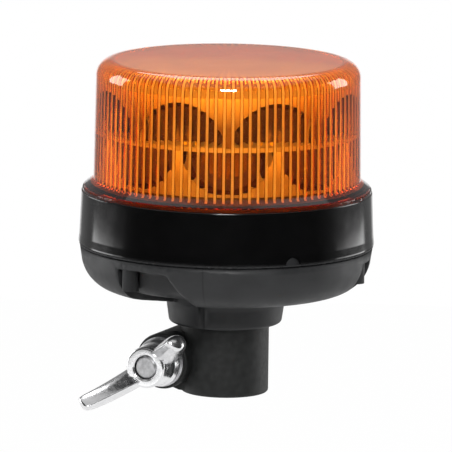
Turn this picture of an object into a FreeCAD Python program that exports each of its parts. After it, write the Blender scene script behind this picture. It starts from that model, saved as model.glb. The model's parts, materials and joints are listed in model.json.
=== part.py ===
import FreeCAD, Part
import math
import os

import Sketcher
from FreeCAD import Rotation, Vector

# Driving sizes in millimetres and degrees
# Heights are above the mouth of the pole socket, angles run from the front (-Y) towards +X
SIZES = {
    # Pole socket
    "bore_radius": 12.25,
    "bore_depth": 46.0,
    "bore_shoulder": 0.6,
    "socket_wall": 7.05,
    "socket_edge": 1.2,
    "socket_flange_width": 5.7,
    "socket_flange_thickness": 4.0,
    # Clamp lug and cotter
    "fit_clearance": 0.05,
    "body_gap": 0.3,
    "lug_wall": 3.85,
    "lug_level": 15.0,
    "lug_front": 23.4,
    "lug_back": 20.0,
    "lug_nose": 8.4,
    "lug_edge": 1.0,
    "cotter_radius": 8.4,
    "cotter_bite": 0.7,
    "cotter_travel": 3.0,
    "cotter_end_gap": 0.8,
    "stud_radius": 4.9,
    "stud_chamfer": 0.7,
    "stud_recess": 0.5,
    "stud_clearance": 0.6,
    "washer_radius": 11.0,
    "washer_thickness": 1.6,
    # Wing nut
    "nut_length": 15.6,
    "nut_base_radius": 10.4,
    "nut_face_radius": 9.0,
    "nut_flange_height": 2.6,
    "nut_edge": 1.0,
    "nut_seat_gap": 0.1,
    "nut_waist": 0.6,
    "nut_countersink": 0.8,
    "wing_reach": 29.0,
    "wing_rise": 32.2,
    "wing_base_thickness": 8.6,
    "wing_tip_thickness": 6.0,
    "wing_tip_width": 6.2,
    "wing_throat": 6.2,
    "wing_edge": 1.4,
    "wing_foot_round": 6.0,
    "wing_shoulder_round": 12.0,
    "wing_tip_round": 3.0,
    "wing_turn": 36.5,
    # Lower housing
    "collar_radius": 24.7,
    "collar_flare": 1.6,
    "collar_drop": 15.0,
    "collar_edge": 1.8,
    "collar_groove": 1.6,
    "collar_groove_depth": 2.4,
    "floor_thickness": 3.9,
    "floor_margin": 3.0,
    "bowl_depth": 20.3,
    "bowl_setback": 0.3,
    "bowl_lean": 2.6,
    "bowl_rise": 5.5,
    "bowl_round": 16.0,
    "bowl_wall": 3.2,
    "lip_height": 0.5,
    "lip_groove": 0.9,
    "spigot_wall": 1.8,
    "spigot_height": 8.0,
    "pillar_radius": 3.9,
    "pillar_angle": -21.0,
    "pillar_count": 3.0,
    "pillar_foot": 5.5,
    "pocket_height": 15.0,
    "pocket_radius": 6.2,
    "pocket_wall": 2.4,
    "pocket_bite": 3.4,
    "scoop_angle": 27.5,
    "scoop_lead": 5.5,
    "scoop_depth": 5.0,
    "scoop_slope": 4.3,
    "scoop_rise": 3.5,
    "scoop_drop": 0.6,
    "scoop_ledge": 1.5,
    "scoop_round": 3.0,
    "scoop_sweep": 10.0,
    "key_radius": 3.2,
    "key_angle": 50.5,
    # Gloss band
    "gasket_thickness": 0.5,
    "band_radius": 64.6,
    "band_height": 22.7,
    "band_bead": 0.3,
    "bead_height": 0.6,
    "bead_blend": 3.0,
    "bead_round": 8.0,
    "band_edge": 0.5,
    "band_draft": 0.8,
    "band_wall": 2.6,
    "deck_drop": 3.0,
    "deck_thickness": 2.5,
    "boss_radius": 3.6,
    "boss_lap": 0.3,
    # Lens
    "lens_height": 57.5,
    "lens_wall": 3.0,
    "lens_draft": 0.8,
    "lens_round": 7.0,
    "flange_setback": 0.4,
    "flange_step": 0.6,
    "flange_step_height": 1.05,
    "flange_slope_width": 4.1,
    "flange_slope_height": 3.1,
    "lens_spigot_wall": 2.9,
    "lens_seal_thickness": 1.5,
    # Light stack
    "lower_reflector_height": 28.0,
    "upper_reflector_height": 21.5,
    "reflector_gap": 0.8,
    "reflector_inset": 1.5,
    "reflector_web": 1.0,
    "reflector_angle": 24.0,
    "reflector_well": 26.0,
    "reflector_floor": 2.0,
    "board_thickness": 2.0,
    "board_gap": 1.9,
    "led_width": 3.5,
    "led_height": 1.0,
    "post_radius": 11.0,
    "post_screw_circle": 7.0,
    # Driver board
    "driver_thickness": 1.6,
    "standoff_height": 8.4,
    "standoff_radius": 3.0,
    "standoff_inset": 8.1,
    "standoff_angle": 30.0,
    "component_inset": 19.1,
    "capacitor_radius": 5.0,
    "capacitor_height": 12.0,
    "capacitor_edge": 0.8,
    "capacitor_angle": 210.0,
    "capacitor_spread": 15.0,
    "coil_radius": 7.0,
    "coil_height": 8.0,
    "coil_disc": 1.6,
    "coil_inset": 0.84,
    "coil_angle": 300.0,
    "chip_width": 9.0,
    "chip_height": 1.6,
    "terminal_length": 12.0,
    "terminal_width": 10.0,
    "terminal_height": 9.0,
    "terminal_angle": 110.0,
    "terminal_circle": 22.0,
    "lead_radius": 0.8,
    "lead_bend": 2.5,
    "lead_circle": 16.5,
    "lead_spread": 6.0,
    "supply_entry": 5.4,
    "earth_entry": 1.8,
    # Pole contacts
    "ring_thickness": 0.8,
    "ring_inner_radius": 7.5,
    "tab_width": 3.0,
    "tab_height": 19.0,
    "carrier_radius": 13.2,
    "carrier_flange_width": 6.8,
    "carrier_flange_thickness": 1.5,
    "carrier_height": 11.5,
    "carrier_sole": 2.0,
    "plunger_radius": 3.0,
    "plunger_collar": 1.5,
    "plunger_collar_height": 2.0,
    "plunger_stem_radius": 2.0,
    "plunger_stem_height": 2.5,
    "plunger_inset": 0.5,
    "plunger_round": 1.8,
    "spring_radius": 3.2,
    "spring_wire": 0.45,
    "spring_turns": 4.0,
    "cap_plug": 2.0,
    "cap_lip": 1.5,
    "cap_ferrule": 0.4,
    # Retainer and screws
    "retainer_thickness": 2.0,
    "retainer_circle": 28.5,
    "retainer_margin": 1.0,
    "retainer_boss_wall": 0.8,
    "screw_radius": 1.9,
    "screw_head_radius": 2.7,
    "screw_head_height": 2.4,
    "screw_recess": 6.5,
    "screw_grip": 12.0,
    "screw_end_gap": 1.0,
    "small_screw_radius": 1.2,
    "small_head_radius": 2.2,
    "small_head_height": 1.6,
    "small_screw_grip": 6.0,
}

UP = Vector(0, 0, 1)
RIGHT = Vector(1, 0, 0)
FORWARD = Rotation(RIGHT, 90)
UPSIDE_DOWN = Rotation(RIGHT, 180)
REFLECTOR_BOWLS = 8
SMALL_SCREW_COUNT = 3
FULL_TURN = 360.0
TOUCH = 0.001

# Proportions: the socket's web to its radius, a screw's drive recess to its head
WEB_FOOT = 0.8
WEB_WIDTH = 1.5
DRIVE_RADIUS = 0.45
DRIVE_DEPTH = 0.5

# Proportions of the wing's foot and shoulder to its reach and rise
FOOT_REACH = 0.47
SHOULDER_REACH, SHOULDER_RISE = 0.88, 0.66

doc = FreeCAD.newDocument("flashing_beacon")
sheet = doc.addObject("Spreadsheet::Sheet", "sizes")
for row, (alias, number) in enumerate(SIZES.items(), start=1):
    sheet.set(f"A{row}", alias)
    sheet.set(f"B{row}", str(number))
    sheet.setAlias(f"B{row}", alias)
doc.recompute()


class Size:
    """A number together with the sheet formula that gives it."""

    def __init__(self, number, formula):
        self.number = number
        self.formula = formula

    def __add__(self, other):
        other = as_size(other)
        return Size(self.number + other.number, f"({self.formula} + {other.formula})")

    def __sub__(self, other):
        other = as_size(other)
        return Size(self.number - other.number, f"({self.formula} - {other.formula})")

    def __rsub__(self, other):
        return as_size(other) - self

    def __mul__(self, other):
        other = as_size(other)
        return Size(self.number * other.number, f"({self.formula} * {other.formula})")

    def __truediv__(self, other):
        other = as_size(other)
        return Size(self.number / other.number, f"({self.formula} / {other.formula})")

    def __neg__(self):
        return as_size(0) - self

    __radd__ = __add__
    __rmul__ = __mul__


class SheetSizes:
    """The driving sizes, each under its own name."""

    def __getattr__(self, name):
        return Size(float(sheet.get(name)), f"sizes.{name}")


def as_size(value):
    if isinstance(value, Size):
        return value
    return Size(float(value), f"({float(value):.6g})")


def sine(angle):
    return Size(math.sin(math.radians(angle.number)), f"sin({angle.formula})")


def cosine(angle):
    return Size(math.cos(math.radians(angle.number)), f"cos({angle.formula})")


def around(radius, angle):
    """The x and y of a point at a radius and an angle from the front."""
    return radius * sine(angle), -(radius * cosine(angle))


def bind(piece, name, value):
    piece.setExpression(name, as_size(value).formula)


def place(piece, x=0, y=0, z=0, turn=0, tilt=Rotation()):
    """Tilt a piece, turn it about the upright axis and move it to x, y, z."""
    turn = as_size(turn)
    piece.Placement = FreeCAD.Placement(Vector(), Rotation(UP, turn.number) * tilt)
    for name, value in (("x", x), ("y", y), ("z", z)):
        bind(piece, f"Placement.Base.{name}", value)
    if tilt.Angle == 0 and turn.number != 0:
        bind(piece, "Placement.Rotation.Angle", turn)
    return piece


def place_around(piece, radius, angle, z, turned=True, tilt=Rotation()):
    x, y = around(radius, angle)
    return place(piece, x, y, z, angle if turned else 0, tilt)


def cylinder(name, radius, height):
    piece = doc.addObject("Part::Cylinder", name)
    bind(piece, "Radius", radius)
    bind(piece, "Height", height)
    return piece


def box(name, length, width, height):
    piece = doc.addObject("Part::Box", name)
    bind(piece, "Length", length)
    bind(piece, "Width", width)
    bind(piece, "Height", height)
    return piece


def sphere(name, radius):
    piece = doc.addObject("Part::Sphere", name)
    bind(piece, "Radius", radius)
    return piece


def fuse(name, pieces):
    whole = doc.addObject("Part::MultiFuse", name)
    whole.Shapes = pieces
    whole.Refine = True
    return whole


def cut(name, base, tools):
    """Take the tools out of the base one after the other; the last result has the name."""
    for index, tool in enumerate(tools, start=1):
        last = index == len(tools)
        result = doc.addObject("Part::Cut", name if last else f"{name}_cut_{index}")
        result.Base = base
        result.Tool = tool
        base = result
    return base


def group(name, pieces):
    together = doc.addObject("Part::Compound", name)
    together.Links = pieces
    return together


def ring(name, outer_radius, inner_radius, height, z):
    outside = place(cylinder(f"{name}_outside", outer_radius, height), z=z)
    inside = place(cylinder(f"{name}_inside", inner_radius, height), z=z)
    return cut(name, outside, [inside])


def unit(vector):
    return vector * (1.0 / vector.Length)


def outline(body, name, corners):
    """A closed sketch on the body's XZ plane through (x, z) corners, some of them rounded by a third size."""
    sketch = body.newObject("Sketcher::SketchObject", name)
    planes = [plane for plane in body.Origin.OriginFeatures if plane.Role == "XZ_Plane"]
    sketch.AttachmentSupport = [(planes[0], "")]
    sketch.MapMode = "FlatFace"
    corners = [[as_size(value) for value in corner] for corner in corners]
    points = [Vector(corner[0].number, corner[1].number, 0) for corner in corners]
    count = len(corners)
    side_start, side_end, arcs = list(points), list(points[1:]) + points[:1], {}
    for index, corner in enumerate(corners):
        if len(corner) < 3:
            continue
        here = points[index]
        into = unit(here - points[index - 1])
        out = unit(points[(index + 1) % count] - here)
        radius = corner[2].number
        reach = radius * math.tan(into.getAngle(out) / 2)
        start, end = here - into * reach, here + out * reach
        left_turn = into.cross(out).z > 0
        inward = Vector(-into.y, into.x, 0) if left_turn else Vector(into.y, -into.x, 0)
        centre = start + inward * radius
        first, second = (start, end) if left_turn else (end, start)
        angles = [math.atan2(point.y - centre.y, point.x - centre.x) for point in (first, second)]
        if angles[1] < angles[0]:
            angles[1] += 2 * math.pi
        arcs[index] = (Part.ArcOfCircle(Part.Circle(centre, UP, radius), *angles), left_turn)
        side_end[index - 1] = start
        side_start[index] = end
    for start, end in zip(side_start, side_end):
        sketch.addGeometry(Part.LineSegment(start, end), False)
    constraints, bound = [], {}

    def hold(geometry, vertex, corner):
        for kind, axis, value in (("DistanceX", -2, corner[0]), ("DistanceY", -1, corner[1])):
            if value.number == 0:
                constraints.append(Sketcher.Constraint("PointOnObject", geometry, vertex, axis))
                continue
            bound[len(constraints)] = value
            constraints.append(Sketcher.Constraint(kind, -1, 1, geometry, vertex, value.number))

    for index, corner in enumerate(corners):
        before = (index - 1) % count
        if index not in arcs:
            constraints.append(Sketcher.Constraint("Coincident", before, 2, index, 1))
            hold(index, 1, corner)
            continue
        arc_shape, left_turn = arcs[index]
        arc = sketch.addGeometry(arc_shape, False)
        peak = sketch.addGeometry(Part.Point(points[index]), True)
        entry, leave = (1, 2) if left_turn else (2, 1)
        constraints.append(Sketcher.Constraint("Tangent", before, 2, arc, entry))
        constraints.append(Sketcher.Constraint("Tangent", arc, leave, index, 1))
        constraints.append(Sketcher.Constraint("PointOnObject", peak, 1, before))
        constraints.append(Sketcher.Constraint("PointOnObject", peak, 1, index))
        bound[len(constraints)] = corner[2]
        constraints.append(Sketcher.Constraint("Radius", arc, corner[2].number))
        hold(peak, 1, corner)
    sketch.addConstraint(constraints)
    for index, value in bound.items():
        bind(sketch, f"Constraints[{index}]", value)
    return sketch


def turned(name, corners, angle=FULL_TURN):
    """A body turned about the upright axis; a part turn is centred on +X."""
    body = doc.addObject("PartDesign::Body", name)
    sketch = outline(body, f"{name}_outline", corners)
    turn = body.newObject("PartDesign::Revolution", f"{name}_turning")
    turn.Profile = sketch
    turn.ReferenceAxis = (sketch, ["V_Axis"])
    turn.Midplane = True
    if isinstance(angle, Size):
        bind(turn, "Angle", angle)
    else:
        turn.Angle = angle
    return body


def padded(body, name, corners, thickness):
    """An outline on the XZ plane given an even thickness to both sides."""
    pad = body.newObject("PartDesign::Pad", f"{name}_pad")
    pad.Profile = outline(body, f"{name}_outline", corners)
    pad.Midplane = True
    bind(pad, "Length", thickness)
    return pad


def screw(name, radius, head_radius, head_height, length):
    """A pan head screw with its drive recess at z = 0 and its shank pointing up."""
    drive = head_radius * DRIVE_RADIUS
    depth = head_height * DRIVE_DEPTH
    return turned(name, [
        (0, depth), (drive, depth), (drive, 0), (head_radius, 0), (head_radius, head_height),
        (radius, head_height), (radius, head_height + length), (0, head_height + length),
    ])


def small_screw(name, length):
    return screw(name, s.small_screw_radius, s.small_head_radius, s.small_head_height, length)


def small_hole(name, height):
    return cylinder(name, s.small_screw_radius + s.fit_clearance, height)


def spread(count, first_angle):
    """Evenly spaced angles, starting at the first one."""
    return [first_angle + FULL_TURN / count * index for index in range(count)]


s = SheetSizes()
front = as_size(0)

# Levels worked out from the driving sizes, bottom to top
floor = s.bore_depth
flange_top = floor + s.socket_flange_thickness
collar_bottom = floor - s.collar_drop
collar_top = floor - s.floor_thickness
pocket_top = floor + s.pocket_height
pillar_top = pocket_top + s.pocket_wall
rim = floor + s.bowl_depth
band_bottom = rim + s.gasket_thickness
band_top = band_bottom + s.band_height
deck_top = band_top - s.deck_drop
deck_bottom = deck_top - s.deck_thickness
driver_top = deck_bottom - s.standoff_height
driver_bottom = driver_top - s.driver_thickness
lens_spigot_bottom = deck_top + s.lens_seal_thickness
lens_top = band_top + s.lens_height
board_bottom = deck_top + s.lower_reflector_height
board_top = board_bottom + s.board_thickness
carrier_flange_top = flange_top + s.carrier_flange_thickness
carrier_top = carrier_flange_top + s.carrier_height
chamber_bottom = flange_top + s.carrier_sole
retainer_top = carrier_flange_top + s.retainer_thickness

# Radii worked out from the driving sizes
socket_radius = s.bore_radius + s.socket_wall
socket_flange_radius = socket_radius + s.socket_flange_width
lug_bore = s.cotter_radius + s.fit_clearance
lug_radius = lug_bore + s.lug_wall
lug_offset = s.bore_radius + lug_bore - s.cotter_bite
stud_hole = s.stud_radius + s.stud_clearance
bowl_radius = s.band_radius - s.bowl_setback
band_inner = s.band_radius - s.band_wall
spigot_outer = band_inner - s.body_gap
spigot_inner = spigot_outer - s.spigot_wall
pillar_circle = band_inner - s.boss_radius + s.boss_lap
pocket_circle = pillar_circle + s.pocket_radius - s.pocket_bite
band_top_radius = s.band_radius - s.band_draft
band_top_inner = band_top_radius - s.band_wall
flange_radius = band_top_radius - s.flange_setback
flange_edge_radius = flange_radius - s.flange_step
lens_radius = flange_edge_radius - s.flange_slope_width
lens_top_radius = lens_radius - s.lens_draft
lens_spigot_outer = band_top_inner - s.body_gap
lens_spigot_inner = lens_spigot_outer - s.lens_spigot_wall
lens_inner_top = lens_top_radius - s.lens_wall
half_step = as_size(FULL_TURN / REFLECTOR_BOWLS / 2)
reflector_radius = lens_inner_top - s.reflector_gap
bowl_circle = reflector_radius - s.reflector_inset
reflector_bowl = bowl_circle * sine(half_step) - s.reflector_web
board_radius = lens_inner_top - s.board_gap
driver_radius = pillar_circle - s.boss_radius - s.body_gap
standoff_circle = driver_radius - s.standoff_inset
component_circle = driver_radius - s.component_inset
contact_bore = s.bore_radius - s.bore_shoulder
contact_spigot = contact_bore - s.fit_clearance
strip_face = (s.ring_inner_radius + s.bore_radius) / 2
carrier_flange_radius = s.carrier_radius + s.carrier_flange_width
chamber_radius = s.plunger_radius + s.plunger_collar + s.fit_clearance
retainer_radius = s.retainer_circle + s.small_head_radius + s.retainer_margin
nut_base = s.lug_front + s.washer_thickness + s.nut_seat_gap
lead_angles = [s.terminal_angle - s.lead_spread, s.terminal_angle + s.lead_spread]
pillar_angles = spread(int(s.pillar_count.number), s.pillar_angle)


def make_rubber_socket():
    """Pole socket tube with its flange, and the lug that the clamp cotter runs in."""
    tube = turned("socket_tube", [
        (0, 0), (socket_radius, 0, s.socket_edge), (socket_radius, floor), (socket_flange_radius, floor),
        (socket_flange_radius, flange_top), (0, flange_top),
    ])
    lug_length = s.lug_front + s.lug_back
    lug = turned("socket_lug", [
        (0, 0), (lug_radius, 0, s.lug_edge), (lug_radius, lug_length, s.lug_edge), (0, lug_length),
    ])
    place(lug, -lug_offset, s.lug_back, s.lug_level, tilt=FORWARD)
    web = doc.addObject("PartDesign::Body", "socket_web")
    lug_bottom = s.lug_level - lug_radius
    lug_top = s.lug_level + lug_radius
    padded(web, "socket_web", [
        (0, s.socket_edge), (socket_radius * WEB_FOOT, s.socket_edge), (lug_offset, lug_bottom),
        (lug_offset, lug_top), (0, lug_top),
    ], socket_radius * WEB_WIDTH)
    place(web, turn=FULL_TURN / 2)
    whole = fuse("socket_whole", [tube, lug, web])
    bore = cylinder("socket_bore", s.bore_radius, floor)
    neck = cylinder("socket_contact_bore", contact_bore, flange_top)
    cotter_bore = cylinder("socket_cotter_bore", lug_bore, lug_length - s.lug_nose)
    place(cotter_bore, -lug_offset, s.lug_back, s.lug_level, tilt=FORWARD)
    stud_bore = cylinder("socket_stud_bore", stud_hole, lug_length)
    place(stud_bore, -lug_offset, s.lug_back, s.lug_level, tilt=FORWARD)
    return cut("rubber_socket", whole, [bore, neck, cotter_bore, stud_bore])


def make_clamp_cotter():
    """Clamp cotter with a scallop for the pole, and the threaded stud that the nut pulls."""
    back = s.lug_back - s.cotter_travel - s.cotter_end_gap
    front = s.lug_front - s.lug_nose - s.cotter_end_gap
    body = cylinder("cotter_body", s.cotter_radius, back + front)
    place(body, -lug_offset, back, s.lug_level, tilt=FORWARD)
    stud_length = back + nut_base + s.nut_length - s.stud_recess
    stud = turned("cotter_stud", [
        (0, 0), (s.stud_radius, 0), (s.stud_radius, stud_length - s.stud_chamfer),
        (s.stud_radius - s.stud_chamfer, stud_length), (0, stud_length),
    ])
    place(stud, -lug_offset, back, s.lug_level, tilt=FORWARD)
    scallop_radius = s.bore_radius + s.fit_clearance
    height = s.lug_level * 2
    near = cylinder("cotter_scallop_near", scallop_radius, height)
    far = place(cylinder("cotter_scallop_far", scallop_radius, height), y=-s.cotter_travel)
    run = box("cotter_scallop_run", scallop_radius, s.cotter_travel, height)
    place(run, -scallop_radius, -s.cotter_travel)
    return cut("clamp_cotter", fuse("cotter_whole", [body, stud]), [near, far, run])


def make_nut_washer():
    outside = cylinder("washer_outside", s.washer_radius, s.washer_thickness)
    inside = cylinder("washer_inside", stud_hole, s.washer_thickness)
    for piece in (outside, inside):
        place(piece, -lug_offset, -s.lug_front, s.lug_level, tilt=FORWARD)
    return cut("nut_washer", outside, [inside])


def make_wings():
    """Both wings, made along +Z: a bar that thins towards the front, trimmed to the wings' side outline."""
    base_half = s.wing_base_thickness / 2
    tip_half = s.wing_tip_thickness / 2
    bar = doc.addObject("PartDesign::Body", "wing_bar")
    padded(bar, "wing_bar", [
        (-base_half, 0), (base_half, 0), (tip_half, s.wing_rise), (-tip_half, s.wing_rise),
    ], s.wing_reach * 2)
    place(bar, turn=FULL_TURN / 4)
    tip_inside = s.wing_reach - s.wing_tip_width
    root_level = s.nut_length - s.wing_throat * (s.wing_rise - s.nut_length) / (tip_inside - s.wing_throat)
    one_side = [
        (s.wing_reach * FOOT_REACH, s.nut_flange_height, s.wing_foot_round),
        (s.wing_reach * SHOULDER_REACH, s.wing_rise * SHOULDER_RISE, s.wing_shoulder_round),
        (s.wing_reach, s.wing_rise, s.wing_tip_round), (tip_inside, s.wing_rise, s.wing_tip_round),
    ]
    other_side = [(-reach, level, round_off) for reach, level, round_off in reversed(one_side)]
    pair = doc.addObject("PartDesign::Body", "wing_pair")
    padded(pair, "wing_pair", one_side + [(0, root_level)] + other_side, s.wing_base_thickness)
    trimmed = doc.addObject("Part::MultiCommon", "wings_trimmed")
    trimmed.Shapes = [bar, pair]
    doc.recompute()
    lean = (base_half.number - tip_half.number) / s.wing_rise.number
    side_edges = []
    for number, edge in enumerate(trimmed.Shape.Edges, start=1):
        middle = edge.valueAt((edge.FirstParameter + edge.LastParameter) / 2)
        if abs(middle.y) + lean * middle.z > base_half.number - TOUCH:
            side_edges.append((number, s.wing_edge.number, s.wing_edge.number))
    wings = doc.addObject("Part::Fillet", "wings")
    wings.Base = trimmed
    wings.Edges = side_edges
    return wings


def make_wing_nut():
    """Round hub with two forward-leaning wings, made along +Z and turned to face the front."""
    bore = s.stud_radius + s.fit_clearance
    hub = turned("wing_hub", [
        (0, 0), (s.nut_base_radius, 0), (s.nut_base_radius, s.nut_flange_height, s.nut_edge),
        (s.nut_face_radius + s.nut_waist, s.nut_flange_height * 2),
        (s.nut_face_radius, s.nut_length, s.nut_edge), (0, s.nut_length),
    ])
    thread = turned("wing_nut_bore", [
        (0, 0), (bore, 0), (bore, s.nut_length - s.nut_countersink), (bore + s.nut_countersink, s.nut_length),
        (0, s.nut_length),
    ])
    nut = cut("wing_nut", fuse("wing_nut_whole", [hub, make_wings()]), [thread])
    return place(nut, -lug_offset, -nut_base, s.lug_level, tilt=FORWARD * Rotation(UP, s.wing_turn.number))


def make_base_bowl():
    """Lower housing: collar, bowl, spigot, screw pillars in pockets and the recess above the wing nut."""
    groove_top = rim - s.lip_height
    groove_bottom = groove_top - s.lip_groove
    neck_bore = socket_radius + s.fit_clearance
    outside = turned("bowl_outside", [
        (neck_bore, collar_bottom), (s.collar_radius, collar_bottom, s.collar_edge),
        (s.collar_radius + s.collar_flare, collar_top),
        (bowl_radius - s.bowl_lean, collar_top + s.bowl_rise, s.bowl_round), (bowl_radius, groove_bottom),
        (bowl_radius - s.lip_groove, groove_bottom), (bowl_radius - s.lip_groove, groove_top),
        (s.band_radius, groove_top), (s.band_radius, rim), (spigot_outer, rim),
        (spigot_outer, rim + s.spigot_height), (neck_bore, rim + s.spigot_height),
    ])
    hollow_round = s.bowl_round - s.bowl_wall
    hollow = turned("bowl_hollow", [
        (0, floor), (retainer_radius + s.floor_margin, floor),
        (bowl_radius - s.bowl_lean - s.bowl_wall, collar_top + s.bowl_rise + s.bowl_wall, hollow_round),
        (spigot_inner, rim), (spigot_inner, rim + s.spigot_height * 2), (0, rim + s.spigot_height * 2),
    ])
    scoop_reach = bowl_radius + s.scoop_depth
    scoop_radius = bowl_radius - s.scoop_depth
    scoop_bottom = collar_top - s.pocket_wall
    scoop_inner = s.collar_radius + s.collar_flare + s.scoop_ledge
    scoop_middle = s.pillar_angle - s.scoop_lead + s.scoop_angle / 2
    side_lap = s.pocket_wall / bowl_radius * (FULL_TURN / math.pi)
    pockets, walls = [], []
    for margin, parts, name in ((as_size(0), pockets, "scoop"), (s.pocket_wall, walls, "scoop_wall")):
        sector = turned(name, [
            (scoop_inner - margin, scoop_bottom), (scoop_reach, scoop_bottom),
            (scoop_reach, pocket_top + margin), (scoop_radius - margin, pocket_top + margin, s.scoop_round),
            (scoop_radius - s.scoop_slope - margin, floor + s.scoop_rise + margin, s.scoop_sweep),
            (scoop_inner - margin, floor - s.scoop_drop + margin),
        ], s.scoop_angle + side_lap * margin / s.pocket_wall)
        parts.append(place(sector, turn=scoop_middle - FULL_TURN / 4))
    pillars, heads, shanks, notches = [], [], [], []
    for index, angle in enumerate(pillar_angles):
        pocket = cylinder(f"pocket_{index}", s.pocket_radius, pocket_top - collar_bottom)
        pockets.append(place_around(pocket, pocket_circle, angle, collar_bottom))
        wall = cylinder(f"pocket_wall_{index}", s.pocket_radius + s.pocket_wall, pillar_top - collar_bottom)
        walls.append(place_around(wall, pocket_circle, angle, collar_bottom))
        pillar_bottom = floor + s.pillar_foot
        pillar = cylinder(f"pillar_{index}", s.pillar_radius, pillar_top - pillar_bottom)
        pillars.append(place_around(pillar, pillar_circle, angle, pillar_bottom))
        head = cylinder(f"pillar_head_hole_{index}", s.screw_head_radius + s.body_gap, s.screw_recess)
        heads.append(place_around(head, pillar_circle, angle, pillar_bottom))
        shank = cylinder(f"pillar_hole_{index}", s.screw_radius + s.fit_clearance, pillar_top - pillar_bottom)
        shanks.append(place_around(shank, pillar_circle, angle, pillar_bottom))
        notch = cylinder(f"boss_notch_{index}", s.boss_radius + s.body_gap, deck_bottom - pillar_top)
        notches.append(place_around(notch, pillar_circle, angle, pillar_top))
    bosses, pilots = [], []
    boss_radius = s.small_head_radius + s.retainer_boss_wall
    for index, angle in enumerate(spread(SMALL_SCREW_COUNT, front)):
        boss = cylinder(f"retainer_boss_{index}", boss_radius, carrier_flange_top - floor)
        bosses.append(place_around(boss, s.retainer_circle, angle, floor))
        pilot = small_hole(f"retainer_pilot_{index}", s.small_screw_grip)
        pilots.append(place_around(pilot, s.retainer_circle, angle, carrier_flange_top - s.small_screw_grip))
    key = cylinder("bowl_key", s.key_radius, bowl_radius - spigot_outer)
    key.Angle = FULL_TURN / 2
    place_around(key, spigot_outer, s.key_angle, rim, tilt=FORWARD)
    groove = cylinder("collar_groove_tool", s.collar_groove, s.collar_drop - s.floor_thickness)
    groove_centre = s.collar_radius + s.collar_flare + s.collar_groove - s.collar_groove_depth
    place(groove, y=-groove_centre, z=collar_bottom)
    shell = cut("bowl_cut", outside, [fuse("bowl_pockets", pockets), groove, group("boss_notches", notches)])
    clear = cut("bowl_clear", hollow, [fuse("bowl_pocket_walls", walls)])
    shell = cut("bowl_shell", shell, [clear])
    shell = fuse("bowl_whole", [shell, key] + pillars + bosses)
    holes = [group("bowl_holes", heads), group("bowl_shanks", shanks), group("bowl_pilots", pilots)]
    return cut("base_bowl", shell, holes)


def make_base_seal():
    inner_radius = pillar_circle + s.boss_radius + s.body_gap
    seal = ring("base_seal_ring", bowl_radius, inner_radius, s.gasket_thickness, rim)
    notch = cylinder("base_seal_notch", s.key_radius + s.body_gap, bowl_radius - spigot_outer)
    place_around(notch, spigot_outer, s.key_angle, rim, tilt=FORWARD)
    return cut("base_seal", seal, [notch])


def make_bezel_ring():
    """Gloss band with the deck that carries the light, screw bosses and driver standoffs under it."""
    bead_radius = s.band_radius + s.band_bead
    bead_top = band_bottom + s.bead_height
    band = turned("bezel_band", [
        (band_inner, band_bottom), (bead_radius, band_bottom), (bead_radius, bead_top),
        (s.band_radius, bead_top + s.bead_blend, s.bead_round), (band_top_radius, band_top, s.band_edge),
        (band_top_inner, band_top), (band_top_inner, deck_top), (0, deck_top), (0, deck_bottom),
        (band_top_inner, deck_bottom),
        (band_inner, rim + s.spigot_height + s.body_gap),
    ])
    bosses, holes = [], []
    for index, angle in enumerate(pillar_angles):
        boss = cylinder(f"bezel_boss_{index}", s.boss_radius, deck_bottom - pillar_top)
        bosses.append(place_around(boss, pillar_circle, angle, pillar_top))
        hole = cylinder(f"bezel_pilot_{index}", s.screw_radius + s.fit_clearance, s.screw_grip)
        holes.append(place_around(hole, pillar_circle, angle, pillar_top))
    for index, angle in enumerate(spread(SMALL_SCREW_COUNT, s.standoff_angle)):
        standoff = cylinder(f"standoff_{index}", s.standoff_radius, s.standoff_height)
        bosses.append(place_around(standoff, standoff_circle, angle, driver_top))
        hole = small_hole(f"standoff_pilot_{index}", s.small_screw_grip)
        holes.append(place_around(hole, standoff_circle, angle, driver_top))
    for index, angle in enumerate(spread(SMALL_SCREW_COUNT, front)):
        hole = small_hole(f"deck_screw_hole_{index}", s.deck_thickness)
        holes.append(place_around(hole, s.post_screw_circle, angle, deck_bottom))
    for index, angle in enumerate(lead_angles):
        hole = cylinder(f"deck_lead_hole_{index}", s.lead_radius + s.body_gap, s.deck_thickness)
        holes.append(place_around(hole, s.lead_circle, angle, deck_bottom))
    notch = cylinder("bezel_notch", s.key_radius + s.body_gap, s.band_wall * 2)
    holes.append(place_around(notch, spigot_outer, s.key_angle, rim, tilt=FORWARD))
    return cut("bezel_ring", fuse("bezel_whole", [band] + bosses), [group("bezel_holes", holes)])


def make_housing_screws():
    length = s.screw_grip - s.screw_end_gap + pillar_top - (floor + s.pillar_foot + s.screw_recess)
    screws = []
    for index, angle in enumerate(pillar_angles):
        name = f"housing_screw_{index}"
        piece = screw(name, s.screw_radius, s.screw_head_radius, s.screw_head_height, length)
        z = floor + s.pillar_foot + s.screw_recess - s.screw_head_height
        screws.append(place_around(piece, pillar_circle, angle, z))
    return group("housing_screws", screws)


def make_lens_dome():
    """Amber lens: drum with a rounded flat top, stepped flange and the spigot that presses on the seal."""
    step_top = band_top + s.flange_step_height
    edge_top = step_top + s.flange_step_height
    wall_bottom = edge_top + s.flange_slope_height
    return turned("lens_dome", [
        (0, lens_top), (lens_top_radius, lens_top, s.lens_round), (lens_radius, wall_bottom),
        (flange_edge_radius, edge_top), (flange_edge_radius, step_top), (flange_radius, step_top),
        (flange_radius, band_top), (lens_spigot_outer, band_top), (lens_spigot_outer, lens_spigot_bottom),
        (lens_spigot_inner, lens_spigot_bottom), (lens_spigot_inner, step_top),
        (lens_radius - s.lens_wall, edge_top),
        (lens_inner_top, lens_top - s.lens_wall, s.lens_round - s.lens_wall),
        (0, lens_top - s.lens_wall),
    ])


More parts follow.
